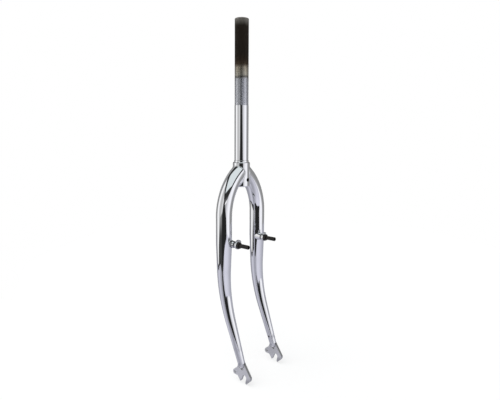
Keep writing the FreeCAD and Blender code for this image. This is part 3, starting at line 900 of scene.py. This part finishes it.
low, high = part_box("steerer_tube")
crown_radius = high.x
tube_radius = MOUNTS["steerer"]["dims"]["r_mm"] * MM
seat_radius = MOUNTS["crown_race_seat"]["dims"]["r_mm"] * MM
crest_radius = tube_radius - THREAD_RELIEF
crown_end = low.z + CROWN_TRIM
shoulder_flat = crown_radius - SHOULDER_CHAMFER[0]
steerer = turned("steerer", [
    (crest_radius, high.z - CHAMFER),
    (crest_radius - CHAMFER, high.z),
    (bore_radius + BORE_CHAMFER, high.z),
    (bore_radius, high.z - BORE_CHAMFER),
    (bore_radius, BUTT_HEIGHT),
    (BUTT_RADIUS, BUTT_HEIGHT - BUTT_TAPER),
    (BUTT_RADIUS, crown_end + BUTT_CHAMFER),
    (BUTT_RADIUS + BUTT_CHAMFER, crown_end),
    (crown_radius - CROWN_ROUND, crown_end),
    (crown_radius - CROWN_CORNER, crown_end + CROWN_CORNER),
    (crown_radius, crown_end + CROWN_ROUND),
    (crown_radius, crown_end + CROWN_ROUND + EDGE),
    (crown_radius, -SHOULDER_CHAMFER[1] - EDGE),
    (crown_radius, -SHOULDER_CHAMFER[1]),
    (shoulder_flat, 0),
    (seat_radius + SEAT_FILLET[0], 0),
    (seat_radius, SEAT_FILLET[1]),
    (seat_radius, SEAT_HEIGHT - SEAT_CHAMFER),
    (tube_radius - SEAT_RELIEF, SEAT_HEIGHT),
    (tube_radius, SEAT_HEIGHT + SEAT_RELIEF),
    (tube_radius, THREAD_START - THREAD_APPROACH[0]),
    (tube_radius, THREAD_START - THREAD_APPROACH[1]),
], STEERER_SIDES)
report(steerer)

# %% Steerer: the thread
PITCH = 25.4 / 26 * MM
THREAD_DEPTH = 0.55 * MM
CREST_FLAT = 0.14
THREAD_STEPS = 48
THREAD_END = 0.3 * MM
THREAD_MERGE = 0.02 * MM
TRIM_GAP = 0.0001 * MM
SPARE_TURNS = 2
thread_top = high.z - CHAMFER
root_radius = crest_radius - THREAD_DEPTH
turns = math.ceil((thread_top - THREAD_START) / PITCH) + 2 * SPARE_TURNS

clear_selection()
bpy.ops.mesh.primitive_plane_add(size=MM, location=(0, 0, 0))
thread = bpy.context.object
thread.name = "thread"
edit(thread)
bpy.ops.mesh.select_all(action="SELECT")
bpy.ops.mesh.merge(type="CENTER")
bpy.ops.transform.translate(value=(root_radius, 0, THREAD_START - SPARE_TURNS * PITCH))
flank = PITCH * (1 - CREST_FLAT) / 2
for move in (
    (THREAD_DEPTH, 0, flank),
    (0, 0, PITCH * CREST_FLAT),
    (-THREAD_DEPTH, 0, flank),
):
    bpy.ops.mesh.extrude_vertices_move(TRANSFORM_OT_translate={"value": move})
apply_modifier(
    thread, "SCREW", axis="Z", angle=math.tau, screw_offset=PITCH, iterations=turns,
    steps=THREAD_STEPS, render_steps=THREAD_STEPS, use_merge_vertices=True,
    merge_threshold=MERGE_GAP,
)
edit(thread)
bpy.ops.mesh.select_all(action="SELECT")
bpy.ops.mesh.remove_doubles(threshold=THREAD_MERGE)
for cut_level, upward in ((THREAD_START, -1), (thread_top - THREAD_END, 1)):
    bpy.ops.mesh.select_all(action="SELECT")
    bpy.ops.mesh.bisect(
        plane_co=(0, 0, cut_level), plane_no=(0, 0, upward), clear_outer=True,
        use_fill=False, threshold=TRIM_GAP,
    )
clear_selection()
report(thread)

# %% Steerer: join the thread to the tube
activate(steerer)
thread.select_set(True)
bpy.ops.object.join()
for rim_level in (THREAD_START, thread_top):
    edit(steerer)
    pick_rim(lambda spot: abs(spot.z - rim_level) < MM)
    bpy.ops.mesh.bridge_edge_loops()
close_up(steerer)
report(steerer)

# %% Steerer: keyway and crown hole
KEY_WIDTH = 4.6 * MM
KEY_DEPTH = 1.0 * MM
KEY_TOOL_LENGTH = 10.0 * MM
HOLE_SIDES = 64
key_end = THREAD_START + KEY_WIDTH / 2
key_place = (KEY_DEPTH - tube_radius - KEY_TOOL_LENGTH / 2, 0, key_end)
key_tool = round_tool(KEY_WIDTH / 2, KEY_TOOL_LENGTH, key_place, ALONG_X)
settle(key_tool)
edit(key_tool)
pick(lambda spot: spot.z > key_end + PICK_GAP)
bpy.ops.transform.translate(value=(0, 0, high.z - key_end))
cut_away(steerer, key_tool)

hole_place = (0, 0, hole["pos_m"][2])
cut_away(steerer, round_tool(hole_radius, 4 * crown_radius, hole_place, ALONG_X, HOLE_SIDES))
drop_slivers(steerer)
smooth(steerer)
dress(steerer, "polished_chrome", "steerer_tube", steerer_finish)

# %% [markdown]
# ## Blades
# A blade is one drawn tube. At the top it is bent inwards to the crown, from the brakes down it
# tapers, and below that it is raked forwards and ends in a closed round tip. Spin makes the
# constant bend, and extrude, rotate and scale walk the tapering part. A curve with a bevel could
# do the same, but its rings would not be square to the tube where the radius changes.

# %% Blade: sizes from the frame
BLADE_SIDES = 96
BLADE_WALL = 1.4 * MM
TIP_RADIUS = 7.2 * MM
CROWN_BEND = 106.0 * MM
CROWN_BEND_REACH = 4.0 * MM
RAKE_BEND = 297.0 * MM
stud_axis = Vector(MOUNTS["left_brake_stud"]["pos_m"])
blade_offset = axle.y
shoulder_gap = -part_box("left_blade")[1].z
bend_across = crown_radius + CROWN_BEND - blade_offset
bend_level = -shoulder_gap - math.sqrt((CROWN_BEND + BLADE_RADIUS) ** 2 - bend_across ** 2)
bend_angle = math.acos((CROWN_BEND_REACH - blade_offset + CROWN_BEND) / CROWN_BEND)
tail_length = (axle.x - RAKE_BEND * (1 - math.cos(RAKE_ANGLE))) / math.sin(RAKE_ANGLE)
rake_level = (axle - tail_way * tail_length).z + RAKE_BEND * math.sin(RAKE_ANGLE)
print(f"bend at {bend_level / MM:.1f}, rake from {rake_level / MM:.1f} mm")


# %% Blade: the rings below the brakes
def raked(lean):
    """The blade's middle where it has leaned forwards by an angle."""
    return Vector((
        RAKE_BEND * (1 - math.cos(lean)),
        blade_offset,
        rake_level - RAKE_BEND * math.sin(lean),
    ))


RAKE_STEPS = 36
DOME_STEPS = 12
taper_top = Vector((0, blade_offset, stud_axis.z))
middles = [(taper_top, 0.0), (raked(0.0), 0.0)]
middles += [
    (raked(RAKE_ANGLE * step / RAKE_STEPS), RAKE_ANGLE * step / RAKE_STEPS)
    for step in range(1, RAKE_STEPS + 1)
]
middles += [(tip, RAKE_ANGLE)]
runs = [0.0]
for (before, _), (after, _) in zip(middles, middles[1:]):
    runs.append(runs[-1] + (after - before).length)
rings = [
    (middle, lean, BLADE_RADIUS + (TIP_RADIUS - BLADE_RADIUS) * run / runs[-1])
    for (middle, lean), run in zip(middles, runs)
]
for step in range(1, DOME_STEPS):
    turn = math.pi / 2 * step / DOME_STEPS
    rings.append((
        tip + tail_way * TIP_RADIUS * math.sin(turn), RAKE_ANGLE, TIP_RADIUS * math.cos(turn)
    ))
print("rings below the brakes:", len(rings))

# %% Blade: spin the crown bend, then walk down to the tip
BEND_STEPS = 60
clear_selection()
bpy.ops.mesh.primitive_circle_add(
    vertices=BLADE_SIDES, radius=BLADE_RADIUS, location=(0, blade_offset, bend_level)
)
blade = bpy.context.object
blade.name = "left_fork_blade"
settle(blade)
edit(blade)
bpy.ops.mesh.select_all(action="SELECT")
bpy.ops.mesh.spin(
    steps=BEND_STEPS, angle=bend_angle, center=(0, blade_offset - CROWN_BEND, bend_level),
    axis=(-1, 0, 0),
)
pick(lambda spot: spot.z < bend_level + PICK_GAP)
here, leaning, radius = Vector((0, blade_offset, bend_level)), 0.0, BLADE_RADIUS
for middle, lean, ring_radius in rings:
    bpy.ops.mesh.extrude_edges_move(TRANSFORM_OT_translate={"value": middle - here})
    if lean != leaning:
        bpy.ops.transform.rotate(
            value=lean - leaning, orient_axis="Y", center_override=middle
        )
    grow = ring_radius / radius
    bpy.ops.transform.resize(value=(grow, grow, grow), center_override=middle)
    here, leaning, radius = middle, lean, ring_radius
pole = tip + tail_way * TIP_RADIUS
bpy.ops.mesh.extrude_edges_move(TRANSFORM_OT_translate={"value": pole - here})
bpy.ops.mesh.merge(type="CENTER")
close_up(blade)
report(blade)

# %% [markdown]
# A real blade is hollow, so the shell gets its wall before the cuts: the mitre that sits on the
# crown, the slot for the dropout's tang and the small vent that lets gas out while the tip is
# brazed. Solidify and booleans keep the ring mesh clean, which cuts by hand would not.

# %% Blade: wall, mitre, slot and vent
MITRE_LENGTH, MITRE_PLACE = 0.16, (0, 0, -0.02)
SLOT_LENGTH = 10.0 * MM
SLOT_RISE = 0.07 * MM
SLOT_REACH = 40.0 * MM
SLOT_PLAY = 0.1 * MM
PLATE_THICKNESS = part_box("left_dropout")[1].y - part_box("left_dropout")[0].y
VENT_RADIUS = 2.0 * MM
VENT_HEIGHT = 17.0 * MM
VENT_DEPTH = 12.0 * MM
VENT_INWARDS = Vector((0, 9.0 * MM, 0))
apply_modifier(
    blade, "SOLIDIFY", thickness=BLADE_WALL, offset=-1.0, use_even_offset=True, use_rim=True
)
slot_size = (SLOT_REACH, PLATE_THICKNESS + SLOT_PLAY, SLOT_LENGTH)
slot_place = tip + tail_way * (SLOT_LENGTH / 2 - SLOT_RISE)
vent_place = tip - tail_way * VENT_HEIGHT - VENT_INWARDS
cut_away(blade, round_tool(crown_radius, MITRE_LENGTH, MITRE_PLACE, sides=STEERER_SIDES))
cut_away(blade, box_tool(slot_size, slot_place, RAKE_ANGLE))
cut_away(blade, round_tool(VENT_RADIUS, VENT_DEPTH, vent_place, ALONG_Y))
drop_slivers(blade)
smooth(blade)
other_blade = mirror_copy(blade, "right_fork_blade")
dress(blade, "polished_chrome", "left_blade")
dress(other_blade, "polished_chrome", "right_blade")

# %% [markdown]
# ## Weld beads at the crown
# Each blade is welded to the crown all round its mitre, and the bead was dressed before plating, so
# only a soft ripple is left. The bead follows the line where the two tubes meet: a circle's
# vertices are set on that line, the loop becomes a curve with a round bevel, and the curve a mesh.
# A fillet from the Bevel modifier would need one mesh for both tubes, which are separate parts.

# %% Crown bead
BEAD_STEPS = 312
BEAD_RIPPLES = 52
BEAD_TOP = 1.3 * MM
BEAD_BOTTOM = 6.6 * MM
BEAD_GROWTH = 3
BEAD_ROUNDNESS = 4
BEAD_SUNK = 0.36
BEAD_RIPPLE = 0.03


def bead_radius(turn):
    """Thickness of the bead: slim at the top, a full fillet at the bottom."""
    return BEAD_TOP + (BEAD_BOTTOM - BEAD_TOP) * ((1 - math.cos(turn)) / 2) ** BEAD_GROWTH


def mitre_spot(turn):
    """The middle of the bead at an angle round the blade, seen along it from outside."""
    sink = BEAD_SUNK * bead_radius(turn)
    ring = BLADE_RADIUS - sink
    x = ring * math.sin(turn)
    y = math.sqrt((crown_radius - sink) ** 2 - x ** 2)
    reach = CROWN_BEND + ring * math.cos(turn)
    return Vector((
        x, y, bend_level + math.sqrt(reach ** 2 - (y - blade_offset + CROWN_BEND) ** 2)
    ))


clear_selection()
bpy.ops.mesh.primitive_circle_add(vertices=BEAD_STEPS, radius=BLADE_RADIUS)
bead = bpy.context.object
bead.name = "left_weld_bead"
settle(bead)
for vertex in bead.data.vertices:
    vertex.co = mitre_spot(math.tau * vertex.index / BEAD_STEPS)
activate(bead)
bpy.ops.object.convert(target="CURVE")
bead.data.bevel_depth = BEAD_BOTTOM
bead.data.bevel_resolution = BEAD_ROUNDNESS
for index, point in enumerate(bead.data.splines[0].points):
    turn = math.tau * index / BEAD_STEPS
    ripple = 1 + BEAD_RIPPLE * math.sin(BEAD_RIPPLES * turn)
    point.radius = bead_radius(turn) / BEAD_BOTTOM * ripple
activate(bead)
bpy.ops.object.convert(target="MESH")
close_up(bead)
smooth(bead)
other_bead = mirror_copy(bead, "right_weld_bead")
for piece in (bead, other_bead):
    dress(piece, "polished_chrome")

# %% [markdown]
# ## Dropouts, bosses, spring plates and studs
# These small parts have their right shape in CAD already. A copy of each node is merged, its flat
# faces are joined, and the Bevel modifier rounds the edges as tumbling and polishing do. They could
# be modelled anew, but then every hole and flat would have to be set where the CAD has it.

# %% Copy a CAD node and round its edges
NODE_MERGE_GAP = 0.002 * MM
FLAT_ANGLE = math.radians(0.5)
SHARP_ANGLE = math.radians(30.0)
ROUND_STEPS = 3


def merged_copy(node, name):
    """A copy of a CAD node with its triangles joined to whole faces."""
    piece = bpy.data.objects.new(name, frame["nodes"][node].data.copy())
    bpy.context.scene.collection.objects.link(piece)
    edit(piece)
    bpy.ops.mesh.select_all(action="SELECT")
    bpy.ops.mesh.remove_doubles(threshold=NODE_MERGE_GAP)
    bpy.ops.mesh.dissolve_limited(angle_limit=FLAT_ANGLE)
    clear_selection()
    return piece


def rounded(piece, width):
    """The piece with its sharp edges rounded."""
    apply_modifier(
        piece, "BEVEL", width=width, segments=ROUND_STEPS, limit_method="ANGLE",
        angle_limit=SHARP_ANGLE, use_clamp_overlap=True,
    )
    drop_slivers(piece)
    smooth(piece)
    return piece


# %% Dropouts
TANG_HALF = 5.6 * MM
PLATE_FRONT = 7.6 * MM
PLATE_SPREAD = math.radians(15.5)
PLATE_ROUND = 0.7 * MM
TRIM_SIZE = (20.0 * MM, 20.0 * MM, 30.0 * MM)
lean_way = Vector((math.cos(RAKE_ANGLE), 0, math.sin(RAKE_ANGLE)))
front_line = lean_way * math.cos(PLATE_SPREAD) - tail_way * math.sin(PLATE_SPREAD)
for side, out in (("left", 1), ("right", -1)):
    plate = merged_copy(f"{side}_dropout", f"{side}_tip_plate")
    middle = Vector((tip.x, out * tip.y, tip.z))
    for way in (lean_way, -lean_way):
        trim_place = middle + way * (TANG_HALF + TRIM_SIZE[0] / 2) - tail_way * TRIM_SIZE[2] / 2
        cut_away(plate, box_tool(TRIM_SIZE, trim_place, RAKE_ANGLE))
    edit(plate)
    bpy.ops.mesh.select_all(action="SELECT")
    bpy.ops.mesh.bisect(
        plane_co=middle + lean_way * PLATE_FRONT, plane_no=front_line, clear_outer=True,
        use_fill=True,
    )
    clear_selection()
    dress(rounded(plate, PLATE_ROUND), "satin_chrome", f"{side}_dropout")

# %% [markdown]
# The plate is brazed into the blade's tip, and a thin fillet of braze is left round the dome on
# both faces. A bevel would need one mesh for plate and dome. A torus of the right size already has
# that shape, so it is cut at the level where the dome starts, and its lower half is kept.

# %% Braze fillets round the domes
FILLET_RING = 6.9 * MM
FILLET_RADIUS = 0.95 * MM
FILLET_STEPS, FILLET_SIDES = 72, 20
halves = []
for face in (plate_low.y, plate_high.y):
    clear_selection()
    bpy.ops.mesh.primitive_torus_add(
        major_radius=FILLET_RING, minor_radius=FILLET_RADIUS, major_segments=FILLET_STEPS,
        minor_segments=FILLET_SIDES, location=(tip.x, face, tip.z), rotation=ALONG_Y,
    )
    halves.append(bpy.context.object)
    settle(halves[-1])
    edit(halves[-1])
    bpy.ops.mesh.select_all(action="SELECT")
    bpy.ops.mesh.bisect(plane_co=tip, plane_no=-tail_way, clear_outer=True, use_fill=True)
    clear_selection()
fillet, second_half = halves
fillet.name = "left_braze_fillet"
activate(fillet)
second_half.select_set(True)
bpy.ops.object.join()
close_up(fillet)
smooth(fillet)
for piece in (fillet, mirror_copy(fillet, "right_braze_fillet")):
    dress(piece, "polished_chrome")

# %% Round the other small parts
SMALL_PARTS = (
    ("brake_boss", "boss", 0.25 * MM, "polished_chrome", boss_chrome),
    ("spring_plate", "spring_tab", 0.2 * MM, "zinc_plate", None),
    ("pivot_stud", "stud", 0.25 * MM, "black_oxide", None),
)
for node, name, width, slot, finish in SMALL_PARTS:
    for side in ("left", "right"):
        piece = rounded(merged_copy(f"{side}_{node}", f"{side}_{name}"), width)
        dress(piece, slot, f"{side}_{node}", finish)
